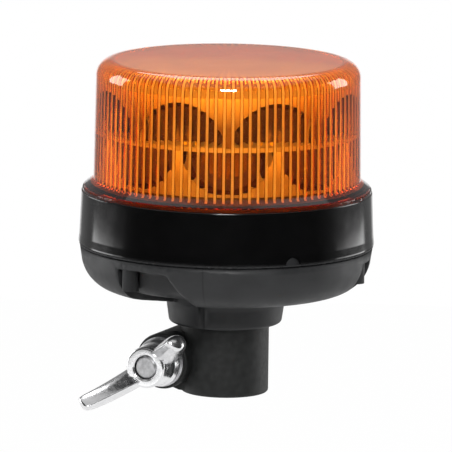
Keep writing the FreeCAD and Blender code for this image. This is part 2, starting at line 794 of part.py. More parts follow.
def make_lens_seal():
    outer = lens_spigot_outer - s.fit_clearance
    return ring("lens_seal", outer, lens_spigot_inner, s.lens_seal_thickness, deck_top)


def make_reflector(name, bottom, height, focus, angle):
    """Round drum with half-round bowls about its side, opening towards the LED board."""
    drum = place(cylinder(f"{name}_drum", reflector_radius, height), z=bottom, turn=angle - half_step)
    bowls = []
    for index, bowl_angle in enumerate(spread(REFLECTOR_BOWLS, angle)):
        bowl = sphere(f"{name}_bowl_{index}", reflector_bowl)
        bowls.append(place_around(bowl, bowl_circle, bowl_angle, focus))
    return drum, group(f"{name}_bowls", bowls)


def make_lower_reflector():
    drum, bowls = make_reflector(
        "lower_reflector", deck_top, s.lower_reflector_height, board_bottom, s.reflector_angle)
    well = cylinder("lower_reflector_well", s.reflector_well, s.lower_reflector_height - s.reflector_floor)
    post_hole = cylinder("lower_reflector_post_hole", s.post_radius + s.body_gap, s.lower_reflector_height)
    holes = [place(well, z=deck_top), place(post_hole, z=deck_top)]
    lead_hole = s.lead_radius + s.body_gap
    for index, angle in enumerate(lead_angles):
        hole = cylinder(f"lower_reflector_lead_hole_{index}", lead_hole, s.lower_reflector_height)
        holes.append(place_around(hole, s.lead_circle, angle, deck_top))
    return cut("lower_reflector", drum, [bowls] + holes)


def make_upper_reflector():
    drum, bowls = make_reflector(
        "upper_reflector", board_top, s.upper_reflector_height, board_top, s.reflector_angle + half_step)
    well = cylinder("upper_reflector_well", s.reflector_well, s.upper_reflector_height)
    holes = [place(well, z=board_top + s.reflector_floor)]
    for index, angle in enumerate(spread(SMALL_SCREW_COUNT, front)):
        hole = small_hole(f"upper_reflector_screw_hole_{index}", s.reflector_floor)
        holes.append(place_around(hole, s.post_screw_circle, angle, board_top))
    return cut("upper_reflector", drum, [bowls] + holes)


def make_led_board():
    disc = place(cylinder("led_board_disc", board_radius, s.board_thickness), z=board_bottom)
    holes = []
    for index, angle in enumerate(spread(SMALL_SCREW_COUNT, front)):
        hole = small_hole(f"led_board_hole_{index}", s.board_thickness)
        holes.append(place_around(hole, s.post_screw_circle, angle, board_bottom))
    return cut("led_board", disc, holes)


def make_leds(name, z, first_angle):
    """One LED at half the depth of each reflector bowl."""
    circle = bowl_circle - reflector_bowl / 2
    leds = []
    for index, angle in enumerate(spread(REFLECTOR_BOWLS, first_angle)):
        base = box(f"{name}_{index}", s.led_width, s.led_width, s.led_height)
        x, y = around(circle, angle)
        half = s.led_width / 2
        shift_x, shift_y = around(half, angle)
        side_x, side_y = around(half, angle + FULL_TURN / 4)
        leds.append(place(base, x + shift_x - side_x, y + shift_y - side_y, z, angle))
    return group(name, leds)


def make_centre_post():
    post = place(cylinder("centre_post_body", s.post_radius, s.lower_reflector_height), z=deck_top)
    depth = s.small_screw_grip + s.screw_end_gap
    holes = []
    for index, angle in enumerate(spread(SMALL_SCREW_COUNT, front)):
        for end, z in (("top", board_bottom - depth), ("bottom", deck_top)):
            hole = small_hole(f"centre_post_{end}_hole_{index}", depth)
            holes.append(place_around(hole, s.post_screw_circle, angle, z))
    return cut("centre_post", post, holes)


def make_small_screws(name, circle, first_angle, seat, passed, pointing_up):
    """Small screws with the head on a seat, passing through a thickness into what lies beyond."""
    screws = []
    for index, angle in enumerate(spread(SMALL_SCREW_COUNT, first_angle)):
        piece = small_screw(f"{name}_{index}", passed + s.small_screw_grip - s.body_gap)
        head = s.small_head_height
        z = seat - head if pointing_up else seat + head
        tilt = Rotation() if pointing_up else UPSIDE_DOWN
        screws.append(place_around(piece, circle, angle, z, turned=False, tilt=tilt))
    return group(name, screws)


def make_driver_board():
    disc = place(cylinder("driver_board_disc", driver_radius, s.driver_thickness), z=driver_bottom)
    holes = []
    for index, angle in enumerate(spread(SMALL_SCREW_COUNT, s.standoff_angle)):
        hole = small_hole(f"driver_board_hole_{index}", s.driver_thickness)
        holes.append(place_around(hole, standoff_circle, angle, driver_bottom))
    return cut("driver_board", disc, holes)


def make_capacitors():
    """Two can capacitors that hang under the driver board."""
    cans = []
    for index, offset in enumerate((-s.capacitor_spread, s.capacitor_spread)):
        can = turned(f"capacitor_{index}", [
            (0, 0), (s.capacitor_radius, 0, s.capacitor_edge), (s.capacitor_radius, s.capacitor_height),
            (0, s.capacitor_height),
        ])
        angle = s.capacitor_angle + offset
        cans.append(place_around(can, component_circle, angle, driver_bottom - s.capacitor_height))
    return group("capacitors", cans)


def make_choke_coil():
    """Drum choke: two end discs with the winding between them."""
    disc = s.coil_disc
    winding = s.coil_radius - s.coil_inset
    coil = turned("choke_coil", [
        (0, 0), (s.coil_radius, 0), (s.coil_radius, disc), (winding, disc), (winding, s.coil_height - disc),
        (s.coil_radius, s.coil_height - disc), (s.coil_radius, s.coil_height), (0, s.coil_height),
    ])
    return place_around(coil, component_circle, s.coil_angle, driver_bottom - s.coil_height)


def make_board_block(name, length, width, height, circle, angle):
    """A block under the driver board, its length along the radius."""
    block = box(name, width, length, height)
    x, y = around(circle + length / 2, angle)
    side_x, side_y = around(width / 2, angle + FULL_TURN / 4)
    return place(block, x - side_x, y - side_y, driver_bottom - height, angle)


def make_contact_carrier():
    """Insulating plug in the top of the socket, with the chamber of the sprung centre contact."""
    tip_hole = s.plunger_radius + s.fit_clearance
    ring_top = floor + s.ring_thickness
    carrier = turned("carrier_body", [
        (tip_hole, ring_top), (contact_spigot, ring_top), (contact_spigot, flange_top),
        (carrier_flange_radius, flange_top), (carrier_flange_radius, carrier_flange_top),
        (s.carrier_radius, carrier_flange_top),
        (s.carrier_radius, carrier_top), (chamber_radius, carrier_top), (chamber_radius, chamber_bottom),
        (tip_hole, chamber_bottom),
    ])
    slot_width = s.tab_width + s.fit_clearance * 2
    slot = box("carrier_slot", slot_width, s.ring_thickness + s.fit_clearance * 2, s.tab_height)
    return cut("contact_carrier", carrier, [place_tab(slot, slot_width, s.fit_clearance)])


def place_tab(piece, width, margin):
    """Stand a strip on the earth ring, opposite the terminal, flat side to the pole axis."""
    angle = s.terminal_angle + FULL_TURN / 2
    x, y = around(strip_face + s.ring_thickness + margin, angle)
    side_x, side_y = around(width / 2, angle + FULL_TURN / 4)
    return place(piece, x - side_x, y - side_y, floor + s.ring_thickness, angle)


def make_earth_contact():
    """Brass ring that the pole's end meets, with a strip up through the carrier."""
    flat = ring("earth_ring", contact_spigot, s.ring_inner_radius, s.ring_thickness, floor)
    strip = box("earth_strip", s.tab_width, s.ring_thickness, s.tab_height)
    return fuse("earth_contact", [flat, place_tab(strip, s.tab_width, as_size(0))])


def make_centre_contact():
    """Sprung brass plunger that meets the contact in the pole's end."""
    tip = floor + s.plunger_inset
    collar = s.plunger_radius + s.plunger_collar
    collar_bottom_level = chamber_bottom + s.fit_clearance
    collar_top_level = collar_bottom_level + s.plunger_collar_height
    stem_top = collar_top_level + s.plunger_stem_height
    return turned("centre_contact", [
        (0, tip), (s.plunger_radius, tip, s.plunger_round), (s.plunger_radius, collar_bottom_level),
        (collar, collar_bottom_level), (collar, collar_top_level), (s.plunger_stem_radius, collar_top_level),
        (s.plunger_stem_radius, stem_top), (0, stem_top),
    ])


def make_contact_cap():
    """Brass cap that closes the chamber and feeds the spring."""
    plug = chamber_radius - s.fit_clearance
    ferrule = s.lead_radius + s.cap_ferrule
    return turned("contact_cap", [
        (0, carrier_top - s.cap_plug), (plug, carrier_top - s.cap_plug), (plug, carrier_top),
        (plug + s.cap_lip, carrier_top), (plug + s.cap_lip, carrier_top + s.cap_lip),
        (ferrule, carrier_top + s.cap_lip), (ferrule, carrier_top + s.cap_lip * 2),
        (0, carrier_top + s.cap_lip * 2),
    ])


def make_contact_spring():
    """Coil spring between the plunger's collar and the cap, each half turn an arc that leans as it climbs."""
    bottom = chamber_bottom + s.fit_clearance * 2 + s.plunger_collar_height + s.spring_wire
    top = carrier_top - s.cap_plug - s.spring_wire - s.fit_clearance
    radius = s.spring_radius.number
    half_turns = int(s.spring_turns.number * 2)
    climb = (top.number - bottom.number) / half_turns
    depth = math.hypot(radius, climb / 2)
    arcs = []
    for index in range(half_turns):
        side = 1 if index % 2 == 0 else -1
        start = Vector(side * radius, 0, index * climb)
        middle = Vector(0, side * depth, (index + 0.5) * climb)
        end = Vector(-side * radius, 0, (index + 1) * climb)
        arcs.append(Part.Arc(start, middle, end).toShape())
    section = Part.Wire(Part.makeCircle(s.spring_wire.number, Vector(radius, 0, 0), Vector(0, 1, 0)))
    spring = doc.addObject("Part::Feature", "contact_spring")
    spring.Shape = Part.Wire(arcs).makePipeShell([section], True, True)
    place(spring, z=bottom)
    return spring


def make_lead(name, start, corner, end):
    """A round wire with one bend."""
    bend = s.lead_bend.number
    radius = s.lead_radius.number
    into, out = unit(corner - start), unit(end - corner)
    reach = bend * math.tan(into.getAngle(out) / 2)
    entry, leave = corner - into * reach, corner + out * reach
    middle = corner + unit(out - into) * (bend / math.cos(into.getAngle(out) / 2) - bend)
    path = Part.Wire([
        Part.LineSegment(start, entry).toShape(), Part.Arc(entry, middle, leave).toShape(),
        Part.LineSegment(leave, end).toShape(),
    ])
    section = Part.Wire(Part.makeCircle(radius, start, into))
    lead = doc.addObject("Part::Feature", name)
    lead.Shape = path.makePipeShell([section], True, True)
    return lead


def polar_point(radius, angle, z):
    x, y = around(radius, angle)
    return Vector(x.number, y.number, z.number)


def make_supply_lead():
    level = driver_bottom - s.supply_entry
    inner_face = s.terminal_circle - s.terminal_length / 2
    axis = as_size(0)
    start = polar_point(axis, s.terminal_angle, carrier_top + s.cap_lip * 2)
    corner = polar_point(axis, s.terminal_angle, level)
    return make_lead("supply_lead", start, corner, polar_point(inner_face, s.terminal_angle, level))


def make_earth_lead():
    level = driver_bottom - s.earth_entry
    inner_face = s.terminal_circle - s.terminal_length / 2
    strip_circle = strip_face + s.ring_thickness / 2
    strip_angle = s.terminal_angle + FULL_TURN / 2
    start = polar_point(strip_circle, strip_angle, floor + s.ring_thickness + s.tab_height)
    corner = polar_point(strip_circle, strip_angle, level)
    return make_lead("earth_lead", start, corner, polar_point(inner_face, s.terminal_angle, level))


def make_led_leads():
    leads = []
    for index, angle in enumerate(lead_angles):
        lead = cylinder(f"led_lead_{index}", s.lead_radius, board_bottom - driver_top)
        leads.append(place_around(lead, s.lead_circle, angle, driver_top))
    return group("led_leads", leads)


def make_socket_retainer():
    hole_radius = s.carrier_radius + s.body_gap
    plate = ring("retainer_plate", retainer_radius, hole_radius, s.retainer_thickness, carrier_flange_top)
    holes = []
    for index, angle in enumerate(spread(SMALL_SCREW_COUNT, front)):
        hole = small_hole(f"retainer_hole_{index}", s.retainer_thickness)
        holes.append(place_around(hole, s.retainer_circle, angle, carrier_flange_top))
    return cut("socket_retainer", plate, holes)


nodes = [
    make_rubber_socket(),
    make_clamp_cotter(),
    make_nut_washer(),
    make_wing_nut(),
    make_base_bowl(),
    make_base_seal(),
    make_bezel_ring(),
    make_housing_screws(),
    make_lens_dome(),
    make_lens_seal(),
    make_lower_reflector(),
    make_upper_reflector(),
    make_led_board(),
    make_leds("lower_leds", board_bottom - s.led_height, s.reflector_angle),
    make_leds("upper_leds", board_top, s.reflector_angle + half_step),
    make_centre_post(),
    make_small_screws("stack_screws", s.post_screw_circle, front, board_top + s.reflector_floor,
                      s.reflector_floor + s.board_thickness, False),
    make_small_screws("post_screws", s.post_screw_circle, front, deck_bottom, s.deck_thickness, True),
    make_driver_board(),
    make_small_screws("driver_screws", standoff_circle, s.standoff_angle, driver_bottom,
                      s.driver_thickness, True),
    make_capacitors(),
    make_choke_coil(),
    make_board_block("controller_chip", s.chip_width, s.chip_width, s.chip_height, s.terminal_circle, front),
    make_board_block("supply_terminal", s.terminal_length, s.terminal_width, s.terminal_height,
                     s.terminal_circle, s.terminal_angle),
    make_contact_carrier(),
    make_earth_contact(),
    make_centre_contact(),
    make_contact_cap(),
    make_contact_spring(),
    make_supply_lead(),
    make_earth_lead(),
    make_led_leads(),
    make_socket_retainer(),
    make_small_screws("retainer_screws", s.retainer_circle, front, retainer_top,
                      s.retainer_thickness, False),
]
doc.recompute()

failed = [item.Name for item in doc.Objects if "Invalid" in item.State or "Error" in item.State]
if failed:
    raise RuntimeError(f"objects that failed: {failed}")
for node in nodes:
    if node.Shape.isNull() or not node.Shape.isValid():
        raise RuntimeError(f"bad shape: {node.Label}")

os.makedirs("parts", exist_ok=True)
for node in nodes:
    node.Shape.exportStep(f"parts/{node.Label}.step")
    print(f"{node.Label}: {len(node.Shape.Solids)} solids, {node.Shape.Volume:.0f} mm3")
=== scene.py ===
import json
import math

import bmesh
import bpy
from mathutils import Matrix, Vector


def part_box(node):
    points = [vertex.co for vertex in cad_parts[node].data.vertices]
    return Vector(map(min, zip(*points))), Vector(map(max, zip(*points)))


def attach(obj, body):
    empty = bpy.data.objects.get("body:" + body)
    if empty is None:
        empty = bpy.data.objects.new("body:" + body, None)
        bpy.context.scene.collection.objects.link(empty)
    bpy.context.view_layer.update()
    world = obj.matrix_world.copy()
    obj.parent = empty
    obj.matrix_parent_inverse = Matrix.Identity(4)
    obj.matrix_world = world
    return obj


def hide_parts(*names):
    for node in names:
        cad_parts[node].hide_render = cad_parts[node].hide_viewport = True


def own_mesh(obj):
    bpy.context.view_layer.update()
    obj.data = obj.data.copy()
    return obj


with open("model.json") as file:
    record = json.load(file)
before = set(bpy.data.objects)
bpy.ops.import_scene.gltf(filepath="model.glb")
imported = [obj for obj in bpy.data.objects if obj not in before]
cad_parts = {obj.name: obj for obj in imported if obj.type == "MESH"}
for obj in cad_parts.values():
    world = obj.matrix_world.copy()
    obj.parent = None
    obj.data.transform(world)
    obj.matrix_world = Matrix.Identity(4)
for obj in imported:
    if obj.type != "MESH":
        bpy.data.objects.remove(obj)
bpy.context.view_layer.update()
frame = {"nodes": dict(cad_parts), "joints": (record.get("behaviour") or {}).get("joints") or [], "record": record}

MM = 0.001
joints = {joint["name"]: joint for joint in frame["joints"]}

# Camera: a long way off, a little above the part and to the right of its front
CAMERA_AZIMUTH = 24.0
CAMERA_ELEVATION = 9.68
CAMERA_ROLL = 0.77
CAMERA_DISTANCE = 3.0
CAMERA_REACH = 100.0
CAMERA_LENS = 544.1
CAMERA_SENSOR = 36.0
AIM_HEIGHT = 73.35 * MM
AIM_LEFT = 0.22 * MM

# Studio: room strengths, edges of the room's dark side and of the backdrop as cosines, and the table
ROOM_LIGHT = 0.27
ROOM_DARK = 0.03
ROOM_EDGES = (-0.4, 0.3)
BACKDROP_EDGES = (math.cos(math.radians(20)), math.cos(math.radians(12)))
FLOOR_RADIUS = 1.1
FLOOR_LEVEL = -0.16
FLOOR_SIDES = 96
FLOOR_COLOUR = (0.8, 0.8, 0.8)
FLOOR_ROUGHNESS = 0.9
FLOOR_GLOW = 0.985
FLOOR_MIRRORED = 0.3

# Lamps: name, azimuth from the camera, elevation (degrees), distance, width, height (metres), radiance
LAMPS = (
    ("left_light", -113, 14, 1.3, 0.5, 0.7, 4.5),
    ("right_light", 113, 14, 1.3, 0.5, 0.7, 4.5),
    ("left_strip", -107, -12.7, 0.41, 0.2, 0.085, 3.3),
    ("left_glow", -88, -12.7, 0.41, 0.08, 0.085, 1.6),
    ("right_strip", 115, -12.7, 0.41, 0.21, 0.085, 2.9),
    ("right_glow", 95, -12.7, 0.41, 0.08, 0.085, 2.0),
    ("low_fill", -48, -19, 0.42, 0.4, 0.09, 0.5),
    ("front_light", 0, 28, 1.3, 0.3, 0.3, 45.0),
    ("top_light", 0, 85, 1.1, 1.8, 1.8, 0.55),
    ("back_light", 180, 55, 1.2, 0.7, 0.7, 3.2),
)

# Lens: wall, corners, flange steps and the ribs inside
LENS_WALL = 2.2 * MM
LENS_ROUND = 7.0 * MM
LENS_DRAFT = 0.8 * MM
LENS_SHARP_ANGLE = 24
FLANGE_STEP = 0.6 * MM
FLANGE_STEP_HEIGHT = 1.05 * MM
FLANGE_SLOPE_WIDTH = 4.1 * MM
FLANGE_SLOPE_HEIGHT = 3.1 * MM
SPIGOT_WALL = 2.9 * MM
RIB_COUNT = 96
RIB_HEIGHT = 0.75 * MM
GROOVE_PLACE = 0.34
# Each point of a rib's section: place in the rib's pitch, share of its height
RIB_SECTION = (
    (-0.5, 0.0), (-GROOVE_PLACE, 0.0), (-0.31, 0.55), (-0.22, 0.8), (-0.11, 0.95),
    (0.0, 1.0), (0.11, 0.95), (0.22, 0.8), (0.31, 0.55), (GROOVE_PLACE, 0.0),
)
PLAIN_SECTION = ((-0.5, 0.0), (0.0, 0.0))
RIB_END_RADIUS = 50.0 * MM
RIB_FADE = 1.5 * MM
SUPPORT = 0.8 * MM
ARC_STEPS = 10

# Amber: surface tints and haze, light lost on the way through, where the inside is frosted, and the painted shade
# on the ribs' flanks
AMBER_CLEAR = (1.0, 0.99, 0.97)
AMBER_TINT = (1.0, 0.96, 0.9)
AMBER_TINT_SPOT = 12 * MM
AMBER_ROUGHNESS = 0.03
AMBER_HAZE = (0.015, 0.045)
AMBER_HAZE_SPOT = 9 * MM
AMBER_IOR = 1.58
AMBER_DEPTH = (0.99, 0.775, 0.23)
AMBER_DENSITY = 900.0
SURFACE_DUST = 0.002
GROOVE_FROST = 0.6
FLANK_PLACE = 0.26
FLANK_PAINTED_SHADE = (0.36, 0.14, 0.06)
TOP_FROST = 0.28
TOP_SPREAD = 0.25
TOP_PATCH = 45 * MM

# Wing nut: the turned hub
NUT_BASE_RADIUS = 10.4 * MM
NUT_BASE_ROUND = 0.4 * MM
NUT_FLANGE = 2.6 * MM
NUT_FLANGE_ROUND = 0.8 * MM
NUT_NECK_HEIGHT = 2 * NUT_FLANGE
NUT_NECK_STEP = 0.6 * MM
NUT_NECK_ROUND = 2.0 * MM
NUT_FACE_RADIUS = 9.0 * MM
NUT_LENGTH = 15.6 * MM
NUT_EDGE = 1.0 * MM
NUT_BORE = 5.3 * MM
NUT_BORE_ROUND = 0.3 * MM
NUT_COUNTERSINK = 0.6 * MM
NUT_SIDES = 96
NUT_SHARP_ANGLE = 30

# Wings: how they are turned and their sections from the hub to the tip
WING_TURN = math.radians(36.5)
# Each section: front point and back point (out, up), reach to both sides, offset of the crest, all in mm
WING_SECTIONS = (
    ((3.5, 12.0), (6.0, 1.5), (5.5, 5.5), 4.0),
    ((6.5, 17.6), (14.0, 3.0), (5.5, 5.5), 3.6),
    ((12.5, 23.4), (21.0, 10.5), (5.1, 5.1), 3.0),
    ((19.0, 29.6), (26.0, 19.0), (4.4, 5.0), 2.3),
    ((23.5, 34.0), (29.2, 27.0), (3.5, 5.2), 1.7),
    ((25.6, 35.2), (29.3, 30.4), (2.3, 4.4), 1.0),
)
# How far from back to front the facets, the sides and the round back lie, and how wide the back is
FACET_SHARE = 0.86
SIDE_SHARE = 0.55
BACK_SHARE = 0.1
BACK_WIDTH = 0.7
CREST_CREASE = 0.8
WING_SPLITS = 3

# Base bowl: where its recess is rounded off, as angles from the front in degrees, radii and heights
RECESS_ANGLES = (-46.0, -39.0, 16.0, 26.0)
RECESS_RADII = (30.0 * MM, 36.0 * MM)
RECESS_HEIGHTS = (62.6 * MM, 61.6 * MM)
RECESS_EDGE = 1.1 * MM
RECESS_SPLITS = 6
RECESS_PASSES = 16
RECESS_PASS_SHARE = 0.5
WELD_DISTANCE = 0.001 * MM
PILLAR_ANGLE = -21.0
PILLAR_CIRCLE = 58.7 * MM
PILLAR_REACH = (4.6 * MM, 6.4 * MM)
SWEEP_ANGLE = 1.0
SWEEP_WIDTH = 18.0
SWEEP_TOP = 60.0 * MM
SWEEP_BOTTOM = 46.0 * MM
SWEEP_SHIFTS = (-1.0, 8.0)
POCKET_EDGE_ANGLE = -28.0
POCKET_EDGE_WIDTH = 7.0
POCKET_EDGE_SHIFT = 2.6
BASE_SHARP_ANGLE = 35

# Base bowl: painted shade in its recess, and the dark mould line beside it
RECESS_SHADE = 0.8
RECESS_SHADE_ANGLES = (-27.0, 0.0)
RECESS_SHADE_FADE = 4.0
RECESS_SHADE_RADII = (62.4 * MM, 60.6 * MM)
RECESS_SHADE_HEIGHTS = (45.0 * MM, 48.0 * MM)
RECESS_DARK = (0.008, 0.0081, 0.0085)
MOULD_LINE_ANGLE = 15.0
MOULD_LINE_WIDTH = 0.5 * MM
MOULD_LINE_CORE = MOULD_LINE_WIDTH / 3
MOULD_LINE_HEIGHTS = (46.0 * MM, 49.0 * MM)
MOULD_LINE_SHADE = 0.6

# Reflectors: mirror bowls and satin drums whose silver is darkened as painted shade (the upper more than the
# lower), a painted highlight on the drum's upper rim, level ends and wells lightened as painted light, and darker
# at the foot
DRUM_EDGE = 0.15 * MM
# One silver painted as two copies: lighter on the lower reflector, darker and redder on the upper as painted
# shade; the mirror colours are darkened as painted reflection
UPPER_MIRROR_SHADED = (0.29, 0.2, 0.19)
LOWER_MIRROR_LIT = (0.54, 0.39, 0.36)
MIRROR_ROUGHNESS = 0.1
MIRROR_GLOSS = (0.08, 0.14)
MIRROR_SPOT = 8 * MM
UPPER_SATIN_SHADED = (0.24, 0.17, 0.13)
LOWER_SATIN_LIT = (0.46, 0.42, 0.38)
SATIN_ROUGHNESS = 0.3
SATIN_DIFFUSE = 0.65
# The rim's colour is a painted highlight
RIM_PAINTED_LIGHT = (0.95, 0.9, 0.8)
RIM_HEIGHT = 13.0 * MM
# Satin silver of the level ends and wells, lightened as painted light against the shade in the deep wells
PAINTED_LIGHT_SILVER = (0.7, 0.7, 0.69)
LEVEL_COSINE = 0.97
# Darker colour on each reflector near the bottom, above the band
FOOT_HEIGHT = 5.6 * MM
FOOT_DARK = (0.08, 0.06, 0.05)
REFLECTOR_GRAIN = 2 * MM
REFLECTOR_RELIEF = 0.01 * MM

# Finishes of the CAD pieces by material slot
METAL = {"metallic": 1.0}
CHROME = {"metallic": 1.0, "gloss_spread": 0.4}
DULL = {"specular": 0.25}
PLAIN = {}
NOISE_MIDDLE = (0.3, 0.7)
NOISE_DETAIL = 3.0
# Each finish: colour, roughness, tone spots (mm), spread of tone, grain and its depth (mm), what else differs
FINISH_TABLE = {
    "band_black": ((0.0016, 0.0016, 0.0017), 0.14, 14, 0.15, 0.9, 0.002, PLAIN),
    "bowl_charcoal": ((0.024, 0.0245, 0.0255), 0.5, 11, 0.2, 0.35, 0.03, DULL),
    "seal_rubber": ((0.02, 0.02, 0.02), 0.7, 6, 0.2, 0.4, 0.03, PLAIN),
    "socket_rubber": ((0.0115, 0.0122, 0.012), 0.55, 3, 0.4, 0.45, 0.03, DULL),
    "stud_zinc": ((0.56, 0.56, 0.57), 0.34, 2, 0.25, 0.5, 0.02, METAL),
    "nut_chrome": ((0.82, 0.82, 0.83), 0.2, 5, 0.05, 1.6, 0.03, CHROME),
    "screw_steel": ((0.5, 0.5, 0.51), 0.35, 3, 0.1, 0.4, 0.01, METAL),
    "carrier_black": ((0.02, 0.02, 0.02), 0.5, 5, 0.1, 0.4, 0.02, PLAIN),
    "contact_brass": ((0.71, 0.55, 0.25), 0.25, 4, 0.08, 0.6, 0.01, METAL),
    "board_white": ((0.5, 0.5, 0.49), 0.4, 6, 0.05, 0.5, 0.01, PLAIN),
    "led_yellow": ((0.9, 0.75, 0.2), 0.3, 2, 0.1, 0.4, 0.01, PLAIN),
    "aluminium": ((0.7, 0.7, 0.71), 0.35, 5, 0.06, 0.5, 0.01, METAL),
    "board_green": ((0.03, 0.18, 0.08), 0.4, 6, 0.12, 0.6, 0.01, PLAIN),
    "can_aluminium": ((0.65, 0.65, 0.67), 0.3, 4, 0.06, 0.5, 0.01, METAL),
    "coil_copper": ((0.55, 0.25, 0.12), 0.35, 2, 0.15, 0.4, 0.04, METAL),
    "chip_black": ((0.02, 0.02, 0.02), 0.5, 3, 0.12, 0.3, 0.01, PLAIN),
    "terminal_grey": ((0.35, 0.36, 0.37), 0.5, 4, 0.06, 0.4, 0.01, PLAIN),
    "spring_steel": ((0.6, 0.6, 0.6), 0.3, 2, 0.08, 0.3, 0.01, METAL),
    "lead_red": ((0.5, 0.03, 0.03), 0.4, 3, 0.1, 0.4, 0.01, PLAIN),
    "lead_black": ((0.02, 0.02, 0.02), 0.4, 3, 0.1, 0.4, 0.01, PLAIN),
    "plate_steel": ((0.55, 0.55, 0.56), 0.35, 6, 0.08, 0.5, 0.01, METAL),
}


# Mesh helpers

def facing(azimuth, elevation):
    """Unit vector from the object towards an azimuth from the front and an elevation, in degrees."""
    around, up = math.radians(azimuth), math.radians(elevation)
    return Vector((math.sin(around) * math.cos(up), -math.cos(around) * math.cos(up), math.sin(up)))


def add_object(name, data):
    """A new object in the scene."""
    piece = bpy.data.objects.new(name, data)
    bpy.context.scene.collection.objects.link(piece)
    return piece


def rounded(corners):
    """Points along a profile of (radius, height) corners, some of them rounded by a third value."""
    points = []
    for index, corner in enumerate(corners):
        here = Vector(corner[:2])
        if len(corner) < 3:
            points.append(here)
            continue
        into = (here - Vector(corners[index - 1][:2])).normalized()
        out = (Vector(corners[index + 1][:2]) - here).normalized()
        turn = into.angle(out)
        reach = corner[2] * math.tan(turn / 2)
        centre = here + (out - into).normalized() * corner[2] / math.cos(turn / 2)
        first = (here - into * reach - centre).normalized()
        last = (here + out * reach - centre).normalized()
        for step in range(ARC_STEPS + 1):
            points.append(centre + first.slerp(last, step / ARC_STEPS) * corner[2])
    return points


def supported(points, longest):
    """The same profile with a point beside each corner of its long straight runs."""
    result = [points[0]]
    for start, end in zip(points, points[1:]):
        length = (end - start).length
        if length > longest:
            result.append(start.lerp(end, longest / length / 2))
            result.append(end.lerp(start, longest / length / 2))
        result.append(end)
    return result


def lathe(name, rings):
    """Join rings of (angle, radius, height) points.

    The finer of two neighbouring rings has a multiple of the other's points.
    """
    vertices, loops = [], []
    for ring in rings:
        first = len(vertices)
        for angle, radius, height in ring:
            vertices.append((radius * math.sin(angle), -radius * math.cos(angle), height))
        loops.append(range(first, len(vertices)))
    faces = []
    for upper, lower in zip(loops, loops[1:]):
        counts = [len(upper), len(lower)]
        parts = max(counts) if 1 in counts else min(counts)
        for part in range(parts):
            sides = []
            for loop in (upper, lower):
                step = len(loop) // parts
                sides.append([loop[(part * step + index) % len(loop)] for index in range(max(1, step) + 1)])
            faces.append(list(dict.fromkeys(sides[1] + sides[0][::-1])))
    mesh = bpy.data.meshes.new(name)
    mesh.from_pydata(vertices, [], faces)
    mesh.validate()
    return add_object(name, mesh)


def smooth(piece, sharp_angle=None):
    """Smooth shading; edges that turn by more than the angle in degrees, where one is given, stay sharp."""
    for face in piece.data.polygons:
        face.use_smooth = True
    if sharp_angle is not None:
        piece.data.set_sharp_from_angle(angle=math.radians(sharp_angle))


def dress(piece, material):
    """Give a piece one material in place of those it has."""
    piece.data.materials.clear()
    piece.data.materials.append(material)


# Material helpers

def start_material(name, colour, roughness, metallic=0.0):
    """A new material with its node tree and its shader."""
    material = bpy.data.materials.new(name)
    material.use_nodes = True
    shader = material.node_tree.nodes["Principled BSDF"]
    shader.inputs["Base Color"].default_value = (*colour, 1.0)
    shader.inputs["Roughness"].default_value = roughness
    shader.inputs["Metallic"].default_value = metallic
    return material, material.node_tree, shader


def noise(tree, size):
    """Noise on the object's own coordinates, with spots of about the given size."""
    place = tree.nodes.new("ShaderNodeTexCoord")
    field = tree.nodes.new("ShaderNodeTexNoise")
    field.inputs["Scale"].default_value = 1.0 / size
    field.inputs["Detail"].default_value = NOISE_DETAIL
    tree.links.new(place.outputs["Object"], field.inputs["Vector"])
    return field.outputs["Fac"]


def rise(tree, value, start, end, low=0.0, high=1.0, smoothly=False):
    """Low to high as a value goes from start to end."""
    spread = tree.nodes.new("ShaderNodeMapRange")
    if smoothly:
        spread.interpolation_type = "SMOOTHSTEP"
    for key, number in (("From Min", start), ("From Max", end), ("To Min", low), ("To Max", high)):
        spread.inputs[key].default_value = number
    tree.links.new(value, spread.inputs["Value"])
    return spread.outputs["Result"]


def between(tree, field, low, high):
    """Spread the middle of a noise field from a low to a high number."""
    return rise(tree, field, *NOISE_MIDDLE, low, high)


def mixed(tree, kind, share, first, second):
    """What goes from a first to a second value by a share; each is a plain value or a node's output."""
    mix = tree.nodes.new("ShaderNodeMix")
    mix.data_type = kind
    tree.links.new(share, mix.inputs["Factor"])
    for key, value in (("A", first), ("B", second)):
        if isinstance(value, bpy.types.NodeSocket):
            tree.links.new(value, mix.inputs[key])
        else:
            mix.inputs[key].default_value = value
    return mix.outputs["Result"]


def blend_numbers(tree, share, first, second):
    """A number between two others."""
    return mixed(tree, "FLOAT", share, first, second)


def blend_colours(tree, share, first, second):
    """A colour between two others."""
    values = []
    for colour in (first, second):
        values.append(colour if isinstance(colour, bpy.types.NodeSocket) else (*colour, 1.0))
    return mixed(tree, "RGBA", share, *values)


def blend_shaders(tree, share, first, second):
    """A shader between two others."""
    mix = tree.nodes.new("ShaderNodeMixShader")
    for socket, value in zip(mix.inputs, (share, first, second)):
        tree.links.new(value, socket)
    return mix.outputs["Shader"]


def calculate(tree, operation, first, second=None):
    """One step of arithmetic; each value is a number or a node's output."""
    node = tree.nodes.new("ShaderNodeMath")
    node.operation = operation
    for socket, value in zip(node.inputs, (first, second)):
        if isinstance(value, float):
            socket.default_value = value
        elif value is not None:
            tree.links.new(value, socket)
    return node.outputs["Value"]


def product(tree, first, *others):
    """Several values multiplied."""
    for other in others:
        first = calculate(tree, "MULTIPLY", first, other)
    return first


def dot_product(tree, first, second):
    """The dot product of a node's vector and either a plain vector or another node's."""
    node = tree.nodes.new("ShaderNodeVectorMath")
    node.operation = "DOT_PRODUCT"
    tree.links.new(first, node.inputs[0])
    if isinstance(second, bpy.types.NodeSocket):
        tree.links.new(second, node.inputs[1])
    else:
        node.inputs[1].default_value = second
    return node.outputs["Value"]


def hypotenuse(tree, x, y):
    """The length of the long side of a right-angled triangle."""
    return calculate(tree, "SQRT", calculate(tree, "ADD", product(tree, x, x), product(tree, y, y)))


